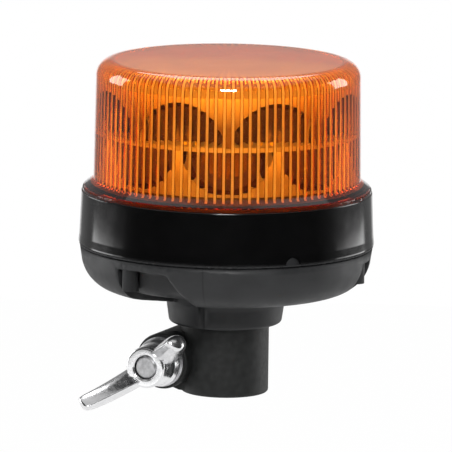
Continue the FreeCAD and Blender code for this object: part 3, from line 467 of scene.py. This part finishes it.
def cylindrical(tree):
    """The angle from the front in radians, the radius and the height of a point of the object."""
    place = tree.nodes.new("ShaderNodeTexCoord")
    parts = tree.nodes.new("ShaderNodeSeparateXYZ")
    tree.links.new(place.outputs["Object"], parts.inputs["Vector"])
    x, y, z = parts.outputs["X"], parts.outputs["Y"], parts.outputs["Z"]
    angle = calculate(tree, "ARCTAN2", x, product(tree, y, -1.0))
    return angle, hypotenuse(tree, x, y), z


def rays(tree):
    """1 for rays from the camera, and 1 for those that come by a mirror or through glass."""
    path = tree.nodes.new("ShaderNodeLightPath")
    mirrored = calculate(tree, "MAXIMUM", path.outputs["Is Glossy Ray"], path.outputs["Is Transmission Ray"])
    return path.outputs["Is Camera Ray"], mirrored


def relief(tree, shader, value, depth):
    """Raise and sink the shaded surface by a value."""
    bump = tree.nodes.new("ShaderNodeBump")
    bump.inputs["Distance"].default_value = depth
    tree.links.new(value, bump.inputs["Height"])
    tree.links.new(bump.outputs["Normal"], shader.inputs["Normal"])


def textured(
    name, colour, roughness, spot, tone, grain, depth, metallic=0.0, gloss_spread=0.15, specular=0.5
):
    """A finish with slow tone and gloss changes over spots and a fine grain."""
    material, tree, shader = start_material(name, colour, roughness, metallic)
    shader.inputs["Specular IOR Level"].default_value = specular
    darker = [channel * (1 - tone) for channel in colour]
    lighter = [min(1.0, channel * (1 + tone)) for channel in colour]
    colours = blend_colours(tree, between(tree, noise(tree, spot), 0, 1), darker, lighter)
    tree.links.new(colours, shader.inputs["Base Color"])
    smoother = roughness * (1 - gloss_spread)
    rougher = roughness * (1 + gloss_spread)
    gloss = between(tree, noise(tree, spot / 2), smoother, rougher)
    tree.links.new(gloss, shader.inputs["Roughness"])
    relief(tree, shader, noise(tree, grain), depth)
    return material


# Lens

def lens_profile():
    """The lens from the middle of its top, round the flange and spigot, to the middle underneath."""
    low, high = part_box("lens_dome")
    top = high.z
    flange = high.x
    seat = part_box("bezel_ring")[1].z
    edge = flange - FLANGE_STEP
    step_top = seat + FLANGE_STEP_HEIGHT
    edge_top = step_top + FLANGE_STEP_HEIGHT
    wall = edge - FLANGE_SLOPE_WIDTH
    wall_top = wall - LENS_DRAFT
    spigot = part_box("lens_seal")[1].x
    outside = rounded([
        (0, top), (wall_top, top, LENS_ROUND), (wall, edge_top + FLANGE_SLOPE_HEIGHT), (edge, edge_top),
        (edge, step_top), (flange, step_top), (flange, seat), (spigot, seat), (spigot, low.z),
    ])
    inner = spigot - SPIGOT_WALL
    inside = rounded([
        (inner, low.z), (inner, step_top), (wall - LENS_WALL, edge_top),
        (wall_top - LENS_WALL, top - LENS_WALL, LENS_ROUND - LENS_WALL), (0, top - LENS_WALL),
    ])
    return outside, inside, edge_top


def make_lens():
    """The lens as one closed shell, smooth outside and ribbed inside."""
    outside, inside, rib_bottom = lens_profile()
    outside = supported(outside, 2 * SUPPORT)
    inside = supported(inside, 2 * RIB_FADE)
    profile = outside + inside
    count = len(profile)
    pitch = 2 * math.pi / RIB_COUNT

    def rib_share(point):
        """How much of a rib's height stands at a point of the inside."""
        at_foot = (point.y - rib_bottom) / RIB_FADE
        at_top = (point.x - RIB_END_RADIUS) / RIB_FADE
        return min(1.0, max(0.0, at_foot)) * min(1.0, max(0.0, at_top))

    rings = []
    for index, point in enumerate(profile):
        if point.x == 0:
            rings.append([(0.0, 0.0, point.y)])
            continue
        along = (profile[min(index + 1, count - 1)] - profile[max(index - 1, 0)]).normalized()
        inwards = Vector((-along.y, along.x))
        ribbed = index >= len(outside) and point.x >= RIB_END_RADIUS - SUPPORT and point.y >= rib_bottom
        height = rib_share(point) * RIB_HEIGHT if ribbed else 0.0
        ring = []
        for rib in range(RIB_COUNT):
            for place, share in RIB_SECTION if ribbed else PLAIN_SECTION:
                moved = point + inwards * height * share
                ring.append(((rib + 0.5 + place) * pitch, moved.x, moved.y))
        rings.append(ring)
    lens = lathe("lens_shell", rings)
    smooth(lens, LENS_SHARP_ANGLE)
    dress(lens, amber(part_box("lens_dome")[1].z, outside))
    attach(lens, "housing")
    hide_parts("lens_dome")


def lens_inside(tree, top, wall):
    """Masks of the lens's plain and of its ribbed inside, and how far a point is from the middle of its rib.

    That distance is in ribs, from 0 to a half.
    """
    around, radius, z = cylindrical(tree)
    out = calculate(tree, "MAXIMUM", calculate(tree, "SUBTRACT", radius, wall - LENS_ROUND), 0.0)
    up = calculate(tree, "MAXIMUM", calculate(tree, "SUBTRACT", z, top - LENS_ROUND), 0.0)
    inside = calculate(tree, "LESS_THAN", hypotenuse(tree, out, up), LENS_ROUND - LENS_WALL / 2)
    ribbed = calculate(tree, "GREATER_THAN", radius, RIB_END_RADIUS)
    plain = calculate(tree, "SUBTRACT", 1.0, ribbed)
    turns = product(tree, around, RIB_COUNT / (2 * math.pi))
    across = calculate(tree, "SUBTRACT", calculate(tree, "FLOORED_MODULO", turns, 1.0), 0.5)
    return product(tree, inside, plain), product(tree, inside, ribbed), calculate(tree, "ABSOLUTE", across)


def frost_share(tree, plain, ribbed, across):
    """How frosted the lens is: in the grooves between the ribs and on the inside of its top."""
    groove = calculate(tree, "GREATER_THAN", across, GROOVE_PLACE)
    least = TOP_FROST * (1 - TOP_SPREAD)
    most = TOP_FROST * (1 + TOP_SPREAD)
    patches = between(tree, noise(tree, TOP_PATCH), least, most)
    return calculate(tree, "ADD", product(tree, ribbed, groove, GROOVE_FROST), product(tree, plain, patches))


def painted_flank_shade_share(tree, ribbed, across):
    """1 on the steep flanks of the ribs, where a dark line beside each groove is painted in as shade."""
    beside_groove = calculate(tree, "LESS_THAN", across, GROOVE_PLACE)
    beside_crown = calculate(tree, "GREATER_THAN", across, FLANK_PLACE)
    return product(tree, ribbed, beside_groove, beside_crown)


def amber(top, outside):
    """Clear amber plastic: it refracts, absorbs most blue and some green, and casts no shadow inside."""
    material, tree, shader = start_material("lens_amber", AMBER_CLEAR, AMBER_ROUGHNESS)
    wall = max(point.x for point in outside if point.y > top - 2 * LENS_ROUND)
    plain, ribbed, across = lens_inside(tree, top, wall)
    clarity = calculate(tree, "SUBTRACT", 1.0 - SURFACE_DUST, frost_share(tree, plain, ribbed, across))
    tree.links.new(clarity, shader.inputs["Transmission Weight"])
    shader.inputs["IOR"].default_value = AMBER_IOR
    tints = blend_colours(tree, between(tree, noise(tree, AMBER_TINT_SPOT), 0, 1), AMBER_CLEAR, AMBER_TINT)
    # Painted shade: the ribs' steep flanks are darkened beside the grooves
    colours = blend_colours(tree, painted_flank_shade_share(tree, ribbed, across), tints, FLANK_PAINTED_SHADE)
    tree.links.new(colours, shader.inputs["Base Color"])
    tree.links.new(between(tree, noise(tree, AMBER_HAZE_SPOT), *AMBER_HAZE), shader.inputs["Roughness"])
    shadow_ray = tree.nodes.new("ShaderNodeLightPath").outputs["Is Shadow Ray"]
    clear = tree.nodes.new("ShaderNodeBsdfTransparent").outputs["BSDF"]
    surface = blend_shaders(tree, shadow_ray, shader.outputs["BSDF"], clear)
    output = tree.nodes["Material Output"]
    tree.links.new(surface, output.inputs["Surface"])
    depth = tree.nodes.new("ShaderNodeVolumeAbsorption")
    depth.inputs["Color"].default_value = (*AMBER_DEPTH, 1.0)
    depth.inputs["Density"].default_value = AMBER_DENSITY
    tree.links.new(depth.outputs["Volume"], output.inputs["Volume"])
    return material


# Reflectors: mirror bowls sunk into a satin drum

def drum_share(tree, drum_radius):
    """1 on the outer side of a reflector's drum and 0 in its bowls."""
    radius = cylindrical(tree)[1]
    return rise(tree, radius, drum_radius - 2 * DRUM_EDGE, drum_radius - DRUM_EDGE)


def foot_share(tree):
    """1 on the lowest stretch above the band, where the reflector is coloured darker."""
    height = cylindrical(tree)[2]
    return calculate(tree, "LESS_THAN", height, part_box("bezel_ring")[1].z + FOOT_HEIGHT)


def painted_rim_light_share(tree, drum, top):
    """0 to 1 towards the upper rim of a reflector's drum, where a highlight is painted in."""
    height = cylindrical(tree)[2]
    return product(tree, drum, rise(tree, height, top - RIM_HEIGHT, top))


def inner_share(tree):
    """1 on a reflector's level ends and in its wells, which face the axis."""
    place = tree.nodes.new("ShaderNodeTexCoord")
    normal = place.outputs["Normal"]
    upright = calculate(tree, "ABSOLUTE", dot_product(tree, normal, (0.0, 0.0, 1.0)))
    level = calculate(tree, "GREATER_THAN", upright, LEVEL_COSINE)
    flattened = tree.nodes.new("ShaderNodeVectorMath")
    flattened.operation = "MULTIPLY"
    flattened.inputs[1].default_value = (1.0, 1.0, 0.0)
    tree.links.new(place.outputs["Object"], flattened.inputs[0])
    outwards = dot_product(tree, flattened.outputs["Vector"], normal)
    return calculate(tree, "MAXIMUM", level, calculate(tree, "LESS_THAN", outwards, 0.0))


def dress_reflector(name, mirror, satin):
    """Silver a reflector: its bowls, its drum, its level ends and its foot differ."""
    material, tree, shader = start_material(name + "_silver", mirror, MIRROR_ROUGHNESS, 1.0)
    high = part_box(name)[1]
    drum = drum_share(tree, high.x)
    inner = inner_share(tree)
    # The mirror and satin colours carry painted shade, darker on the upper reflector than on the lower
    colours = blend_colours(tree, drum, mirror, satin)
    # Painted highlight along the drum's upper rim
    colours = blend_colours(tree, painted_rim_light_share(tree, drum, high.z), colours, RIM_PAINTED_LIGHT)
    # Painted light on the level ends and in the wells
    colours = blend_colours(tree, inner, colours, PAINTED_LIGHT_SILVER)
    colours = blend_colours(tree, foot_share(tree), colours, FOOT_DARK)
    tree.links.new(colours, shader.inputs["Base Color"])
    share = calculate(tree, "MAXIMUM", drum, inner)
    mirror_gloss = between(tree, noise(tree, MIRROR_SPOT), *MIRROR_GLOSS)
    gloss = blend_numbers(tree, share, mirror_gloss, SATIN_ROUGHNESS)
    tree.links.new(gloss, shader.inputs["Roughness"])
    plating = calculate(tree, "SUBTRACT", 1.0, product(tree, share, SATIN_DIFFUSE))
    tree.links.new(plating, shader.inputs["Metallic"])
    relief(tree, shader, noise(tree, REFLECTOR_GRAIN), REFLECTOR_RELIEF)
    dress(frame["nodes"][name], material)


# Base bowl: the solid's own mesh with the recess rounded off and its far end swept back

def ramp(value, start, end):
    """0 to 1 as a value goes from start to end."""
    return min(1.0, max(0.0, (value - start) / (end - start)))


def hump(distance, width):
    """1 at no distance, falling smoothly to 0 at the width."""
    return (1 - min(1.0, abs(distance) / width) ** 2) ** 2


def angle_from_front(point):
    """The angle of a point about the upright axis, in degrees."""
    return math.degrees(math.atan2(point.x, -point.y))


def recess_share(point, pillar):
    """How far a point of the bowl takes part in the rounding of the recess."""
    angle = angle_from_front(point)
    first, full, last, end = RECESS_ANGLES
    around = ramp(angle, first, full) * ramp(angle, end, last)
    out = ramp(point.to_2d().length, *RECESS_RADII)
    below = ramp(point.z, *RECESS_HEIGHTS)
    clear = ramp((point.to_2d() - pillar).length, *PILLAR_REACH)
    return around * out * below * clear


def swept(point):
    """A point turned about the axis, so that the recess's far end leans and its near edge moves in."""
    angle = angle_from_front(point)
    lean = ramp(point.z, SWEEP_TOP, SWEEP_BOTTOM)
    shift = SWEEP_SHIFTS[0] + (SWEEP_SHIFTS[1] - SWEEP_SHIFTS[0]) * lean
    turn = shift * hump(angle - SWEEP_ANGLE, SWEEP_WIDTH)
    turn += POCKET_EDGE_SHIFT * hump(angle - POCKET_EDGE_ANGLE, POCKET_EDGE_WIDTH)
    share = ramp(point.to_2d().length, *RECESS_RADII) * ramp(point.z, *RECESS_HEIGHTS)
    return Matrix.Rotation(math.radians(turn * share), 3, "Z") @ point


def make_base(material):
    """The bowl's mesh, split finely round the recess, swept, and smoothed there."""
    pillar = (facing(PILLAR_ANGLE, 0) * PILLAR_CIRCLE).to_2d()
    shape = bmesh.new()
    shape.from_mesh(frame["nodes"]["base_bowl"].data)
    bmesh.ops.remove_doubles(shape, verts=shape.verts, dist=WELD_DISTANCE)
    for split in range(RECESS_SPLITS):
        long_edges = []
        for edge in shape.edges:
            middle = (edge.verts[0].co + edge.verts[1].co) / 2
            if edge.calc_length() > RECESS_EDGE and recess_share(middle, pillar) > 0:
                long_edges.append(edge)
        bmesh.ops.subdivide_edges(shape, edges=long_edges, cuts=1)
        bmesh.ops.triangulate(shape, faces=[face for face in shape.faces if len(face.verts) > 3])
    for vertex in shape.verts:
        vertex.co = swept(vertex.co)
    shares = {vertex: recess_share(vertex.co, pillar) for vertex in shape.verts}
    moving = [vertex for vertex in shape.verts if shares[vertex] > 0]
    for step in range(RECESS_PASSES):
        places = {}
        for vertex in moving:
            around = [edge.other_vert(vertex).co for edge in vertex.link_edges]
            mean = sum(around, Vector()) / len(around)
            places[vertex] = vertex.co.lerp(mean, shares[vertex] * RECESS_PASS_SHARE)
        for vertex, place in places.items():
            vertex.co = place
    mesh = bpy.data.meshes.new("base_moulding")
    shape.to_mesh(mesh)
    shape.free()
    base = add_object("base_moulding", mesh)
    smooth(base, BASE_SHARP_ANGLE)
    dress(base, material)
    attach(base, "housing")
    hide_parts("base_bowl")


def shade_base(material):
    """Paint shade into the recess, and darken the grain along the mould line beside it."""
    tree = material.node_tree
    shader = tree.nodes["Principled BSDF"]
    angle, radius, height = cylindrical(tree)
    near, far = [math.radians(value) for value in RECESS_SHADE_ANGLES]
    fade = math.radians(RECESS_SHADE_FADE)
    after_near = rise(tree, angle, near - fade, near)
    before_far = rise(tree, angle, far + fade, far - fade)
    deep = rise(tree, radius, *RECESS_SHADE_RADII)
    above = rise(tree, height, *RECESS_SHADE_HEIGHTS)
    # Painted shade inside the recess
    recess = product(tree, after_near, before_far, deep, above, RECESS_SHADE)
    offset = calculate(tree, "SUBTRACT", angle, math.radians(MOULD_LINE_ANGLE))
    distance = product(tree, calculate(tree, "ABSOLUTE", offset), radius)
    line = rise(tree, distance, MOULD_LINE_WIDTH, MOULD_LINE_CORE)
    line = product(tree, line, rise(tree, height, *MOULD_LINE_HEIGHTS), MOULD_LINE_SHADE)
    dark = calculate(tree, "MAXIMUM", recess, line)
    grain = shader.inputs["Base Color"].links[0].from_socket
    tree.links.new(blend_colours(tree, dark, grain, RECESS_DARK), shader.inputs["Base Color"])


# Wing nut: a turned hub and two cast wings with a crest that leans from one side to the other

def nut_hub():
    """The hub, standing on its base with its axis upright."""
    neck = NUT_FACE_RADIUS + NUT_NECK_STEP
    profile = rounded([
        (NUT_BORE, 0), (NUT_BASE_RADIUS, 0, NUT_BASE_ROUND), (NUT_BASE_RADIUS, NUT_FLANGE, NUT_FLANGE_ROUND),
        (neck, NUT_NECK_HEIGHT, NUT_NECK_ROUND), (NUT_FACE_RADIUS, NUT_LENGTH, NUT_EDGE),
        (NUT_BORE + NUT_COUNTERSINK, NUT_LENGTH, NUT_BORE_ROUND), (NUT_BORE, NUT_LENGTH - NUT_COUNTERSINK),
        (NUT_BORE, 0),
    ])
    step = 2 * math.pi / NUT_SIDES
    rings = []
    for point in reversed(profile):
        rings.append([(index * step, point.x, point.y) for index in range(NUT_SIDES)])
    return lathe("wing_nut_cast", rings)


def wing(side):
    """Cage of one wing: sections of a crest, two facets and a round back, closed at the tip."""
    vertices = []
    for front, back, (near, far), crest in WING_SECTIONS:
        front, back = Vector(front), Vector(back)
        section = (
            (crest, 1.0), ((crest + near) / 2, FACET_SHARE), (near, SIDE_SHARE),
            (BACK_WIDTH * near, BACK_SHARE), (0.0, 0.0), (-BACK_WIDTH * far, BACK_SHARE),
            (-far, SIDE_SHARE), ((crest - far) / 2, FACET_SHARE),
        )
        for across, share in section:
            point = back.lerp(front, share)
            vertices.append((side * point.x * MM, side * across * MM, point.y * MM))
    count = len(section)
    faces = []
    for start in range(0, len(vertices) - count, count):
        for index in range(count):
            after = (index + 1) % count
            faces.append((start + index, start + after, start + count + after, start + count + index))
    faces.append(range(len(vertices) - count, len(vertices)))
    mesh = bpy.data.meshes.new("wing")
    mesh.from_pydata(vertices, [], faces)
    crease = mesh.attributes.new("crease_edge", "FLOAT", "EDGE")
    for edge in mesh.edges:
        if all(vertex % count == 0 for vertex in edge.vertices):
            crease.data[edge.index].value = CREST_CREASE
    piece = add_object("wing", mesh)
    rounding = piece.modifiers.new("rounding", "SUBSURF")
    rounding.levels = WING_SPLITS
    rounding.render_levels = WING_SPLITS
    return piece


def settle(piece):
    """Replace a piece's mesh by the one that its modifiers make."""
    made = piece.evaluated_get(bpy.context.evaluated_depsgraph_get())
    mesh = bpy.data.meshes.new_from_object(made)
    piece.modifiers.clear()
    piece.data = mesh


def make_wing_nut(material):
    """Hub and wings as one piece, turned from upright to face the front."""
    hub = nut_hub()
    smooth(hub, NUT_SHARP_ANGLE)
    wings = [wing(1), wing(-1)]
    for piece in wings:
        settle(piece)
        smooth(piece)
    with bpy.context.temp_override(active_object=hub, selected_editable_objects=[hub] + wings):
        bpy.ops.object.join()
    seat = Vector(joints["wing_nut_turn"]["pos_m"])
    seat.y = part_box("wing_nut")[1].y
    turn = Matrix.Rotation(math.pi / 2, 4, "X") @ Matrix.Rotation(WING_TURN, 4, "Z")
    hub.data.transform(Matrix.Translation(seat) @ turn)
    dress(hub, material)
    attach(hub, "wing_nut")
    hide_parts("wing_nut")


# Contact spring

def make_spring():
    """A copy of the spring, carried by the housing in place of the CAD one."""
    spring = add_object("pressed_spring", frame["nodes"]["contact_spring"].data.copy())
    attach(spring, "housing")
    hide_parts("contact_spring")
    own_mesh(spring)


# Stage

def softbox(name, azimuth, elevation, distance, width, height, radiance):
    """A rectangular lamp that faces the object, azimuth counted from the camera."""
    lamp = bpy.data.lights.new(name, "AREA")
    lamp.shape = "RECTANGLE"
    lamp.size = width
    lamp.size_y = height
    lamp.energy = radiance * math.pi * width * height
    back = facing(CAMERA_AZIMUTH + azimuth, elevation)
    piece = add_object(name, lamp)
    piece.location = Vector((0, 0, AIM_HEIGHT)) + back * distance
    piece.rotation_euler = back.to_track_quat("Z", "Y").to_euler()


def make_camera():
    """A long lens, rolled a little as the photo is."""
    camera = bpy.data.cameras.new("camera")
    camera.lens = CAMERA_LENS
    camera.sensor_width = CAMERA_SENSOR
    camera.clip_end = CAMERA_REACH
    back = facing(CAMERA_AZIMUTH, CAMERA_ELEVATION)
    right = facing(CAMERA_AZIMUTH + 90, 0)
    aim = Vector((0, 0, AIM_HEIGHT)) - right * AIM_LEFT
    turn = back.to_track_quat("Z", "Y").to_matrix() @ Matrix.Rotation(math.radians(CAMERA_ROLL), 3, "Z")
    piece = add_object("camera", camera)
    piece.matrix_world = Matrix.Translation(aim + back * CAMERA_DISTANCE) @ turn.to_4x4()
    bpy.context.scene.camera = piece


def make_world():
    """A grey room, dark on the camera's side, with a white backdrop behind the part.

    The camera itself sees white all round.
    """
    world = bpy.data.worlds.new("studio")
    bpy.context.scene.world = world
    world.use_nodes = True
    tree = world.node_tree
    tree.nodes.clear()
    direction = tree.nodes.new("ShaderNodeTexCoord").outputs["Generated"]
    towards_camera = dot_product(tree, direction, facing(CAMERA_AZIMUTH, 0))
    towards_backdrop = dot_product(tree, direction, -facing(CAMERA_AZIMUTH, CAMERA_ELEVATION))
    room = rise(tree, towards_camera, *ROOM_EDGES, ROOM_LIGHT, ROOM_DARK, smoothly=True)
    backdrop = rise(tree, towards_backdrop, *BACKDROP_EDGES, smoothly=True)
    from_camera, mirrored = rays(tree)
    white = calculate(tree, "MAXIMUM", product(tree, backdrop, mirrored), from_camera)
    light = tree.nodes.new("ShaderNodeBackground")
    light.inputs["Color"].default_value = (1.0, 1.0, 1.0, 1.0)
    tree.links.new(blend_numbers(tree, white, room, 1.0), light.inputs["Strength"])
    output = tree.nodes.new("ShaderNodeOutputWorld")
    tree.links.new(light.outputs["Background"], output.inputs["Surface"])


def make_floor():
    """A round pale table below the part; it shows nearly white, and is clear from underneath."""
    edge = []
    for step in range(FLOOR_SIDES):
        angle = 2 * math.pi * step / FLOOR_SIDES
        edge.append((FLOOR_RADIUS * math.cos(angle), FLOOR_RADIUS * math.sin(angle), FLOOR_LEVEL))
    mesh = bpy.data.meshes.new("floor")
    mesh.from_pydata(edge, [], [range(FLOOR_SIDES)])
    floor = add_object("floor", mesh)
    material, tree, shader = start_material("floor", FLOOR_COLOUR, FLOOR_ROUGHNESS)
    shader.inputs["Specular IOR Level"].default_value = 0.0
    from_camera, mirrored = rays(tree)
    seen = calculate(tree, "MAXIMUM", from_camera, product(tree, mirrored, FLOOR_MIRRORED))
    glow = tree.nodes.new("ShaderNodeEmission").outputs["Emission"]
    lit = blend_shaders(tree, product(tree, seen, FLOOR_GLOW), shader.outputs["BSDF"], glow)
    clear = tree.nodes.new("ShaderNodeBsdfTransparent").outputs["BSDF"]
    underneath = tree.nodes.new("ShaderNodeNewGeometry").outputs["Backfacing"]
    surface = blend_shaders(tree, underneath, lit, clear)
    tree.links.new(surface, tree.nodes["Material Output"].inputs["Surface"])
    dress(floor, material)


# The whole scene

make_lens()
finishes = {}
for slot, (colour, roughness, spot, tone, grain, depth, other) in FINISH_TABLE.items():
    finishes[slot] = textured(slot, colour, roughness, spot * MM, tone, grain * MM, depth * MM, **other)
for subpart in frame["record"]["subparts"]:
    finish = finishes.get(subpart["material_slot"])
    if finish:
        dress(frame["nodes"][subpart["node"]], finish)
dress_reflector("lower_reflector", LOWER_MIRROR_LIT, LOWER_SATIN_LIT)
dress_reflector("upper_reflector", UPPER_MIRROR_SHADED, UPPER_SATIN_SHADED)
shade_base(finishes["bowl_charcoal"])
make_base(finishes["bowl_charcoal"])
make_wing_nut(finishes["nut_chrome"])
make_spring()
make_camera()
make_world()
make_floor()
for lamp_values in LAMPS:
    softbox(*lamp_values)
bpy.context.scene.view_settings.view_transform = "Standard"
